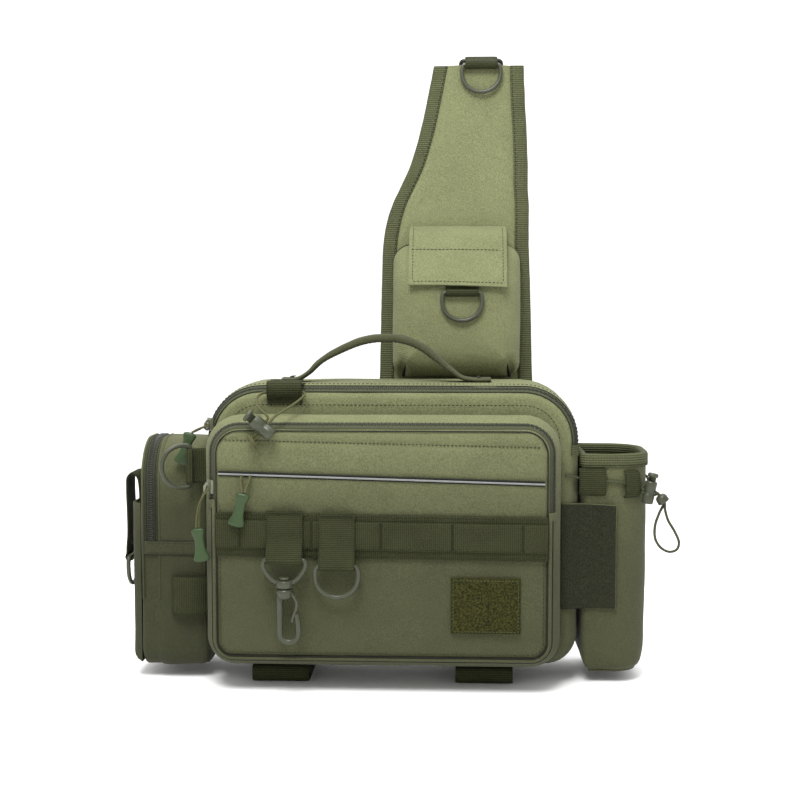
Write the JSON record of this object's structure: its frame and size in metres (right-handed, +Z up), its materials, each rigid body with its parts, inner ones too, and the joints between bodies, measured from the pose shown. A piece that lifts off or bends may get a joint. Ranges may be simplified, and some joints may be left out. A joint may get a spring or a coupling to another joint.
{
  "type": "crossbody bag",
  "caption": "Soft crossbody bag with side pouches, a bottle pocket, webbing rows, a swivel hook and a padded shoulder strap with its own pouch.",
  "frame": {"origin": "centre of the footprint of the bag without its cords, at the floor that the bottom webbing loops stand on", "axes": "+X to the bag's right seen from the front, +Y to the back, +Z up along the shoulder strap"},
  "size_m": [0.4028, 0.1768, 0.4669],
  "materials": {
    "fabric": "matt woven nylon",
    "webbing": "ribbed webbing",
    "zipper": "woven tape with coil teeth",
    "slider": "satin",
    "grip": "satin",
    "plastic": "satin",
    "cord": "braided cord",
    "loop_pile": "soft pile",
    "panel": "coarse knit",
    "reflective": "glass-bead tape",
    "black_plastic": "satin"
  },
  "bodies": {
    "bag": {"main_shell": "fabric", "front_pocket": "fabric", "left_pouch": "fabric", "slip_pocket": "fabric", "bottle_pocket": "fabric", "strap_pad": "fabric", "phone_pouch": "fabric", "pouch_flap": "fabric", "carry_handle": "fabric", "zip_end_tab": "webbing", "rod_loop": "webbing", "molle_base": "webbing", "molle_band": "webbing", "hook_tab": "webbing", "ring_tab": "webbing", "bottom_loop_left": "webbing", "bottom_loop_right": "webbing", "outer_strap": "webbing", "side_loop": "webbing", "side_tab": "webbing", "rim_band": "webbing", "cord_loop_front": "webbing", "cord_loop_side": "webbing", "strap_binding_left": "webbing", "strap_binding_right": "webbing", "pouch_tab": "webbing", "top_tab": "webbing", "back_webbing": "webbing", "main_zipper": "zipper", "front_zipper": "zipper", "left_zipper": "zipper", "main_slider": "slider", "front_slider": "slider", "main_pull_grip": "grip", "front_pull_grip": "grip", "slit_pull_grip": "grip", "holder_lock": "plastic", "cord_stopper": "plastic", "rod_lock": "plastic", "main_pull_cord": "cord", "front_pull_cord": "cord", "slit_pull_cord_left": "cord", "slit_pull_cord_right": "cord", "drawcord": "cord", "rod_cord": "cord", "rod_knot": "cord", "loop_patch": "loop_pile", "velcro_panel": "panel", "reflective_strip": "reflective", "top_buckle": "black_plastic"},
    "front_ring": {"front_ring": "plastic"},
    "hook_eye": {"hook_eye": "plastic"},
    "hook_body": {"hook_body": "plastic"},
    "hook_gate": {"hook_gate": "plastic"},
    "pouch_ring": {"pouch_ring": "plastic"},
    "top_ring": {"top_ring": "plastic"},
    "side_ring": {"side_ring": "plastic"},
    "outer_ring": {"outer_ring": "plastic"},
    "rod_lock_button": {"rod_lock_button": "plastic"},
    "holder_lock_button": {"holder_lock_button": "plastic"}
  },
  "joints": [
    {"name": "front_ring_swing", "type": "hinge", "parent": "bag", "child": "front_ring", "pos_m": [-0.03001, -0.08054, 0.0922], "axis": [-1, 0, 0], "range_deg": [0, 120]},
    {"name": "hook_swing", "type": "hinge", "parent": "bag", "child": "hook_eye", "pos_m": [-0.06601, -0.08269, 0.097], "axis": [-1, 0, 0], "range_deg": [0, 100]},
    {"name": "hook_swivel", "type": "hinge", "parent": "hook_eye", "child": "hook_body", "pos_m": [-0.06601, -0.08269, 0.08], "axis": [0, 0, 1], "range_deg": [-180, 40]},
    {"name": "hook_gate_open", "type": "hinge", "parent": "hook_body", "child": "hook_gate", "pos_m": [-0.06201, -0.08269, 0.0738], "axis": [0, 1, 0], "range_deg": [0, 14], "stiffness_Nm_per_rad": 0.01, "springref_deg": -17.19},
    {"name": "pouch_ring_swing", "type": "hinge", "parent": "bag", "child": "pouch_ring", "pos_m": [0.05619, 0.01956, 0.28184], "axis": [-1, 0, 0], "range_deg": [0, 120]},
    {"name": "top_ring_swing", "type": "hinge", "parent": "bag", "child": "top_ring", "pos_m": [0.07069, 0.06608, 0.45886], "axis": [-1, 0, 0], "range_deg": [0, 120]},
    {"name": "side_ring_swing", "type": "hinge", "parent": "bag", "child": "side_ring", "pos_m": [-0.13681, -0.04989, 0.1577], "axis": [0, 0, 1], "range_deg": [-45, 80]},
    {"name": "outer_ring_swing", "type": "hinge", "parent": "bag", "child": "outer_ring", "pos_m": [-0.18781, -0.01449, 0.0874], "axis": [0, 1, 0], "range_deg": [0, 120]},
    {"name": "rod_lock_press", "type": "slide", "parent": "bag", "child": "rod_lock_button", "axis": [0.7682, 0, -0.6402], "range_m": [0, 0.003], "stiffness_N_per_m": 300, "springref_m": -0.002},
    {"name": "holder_lock_press", "type": "slide", "parent": "bag", "child": "holder_lock_button", "axis": [-0.208, 0, -0.9781], "range_m": [0, 0.0026], "stiffness_N_per_m": 300, "springref_m": -0.002}
  ]
}
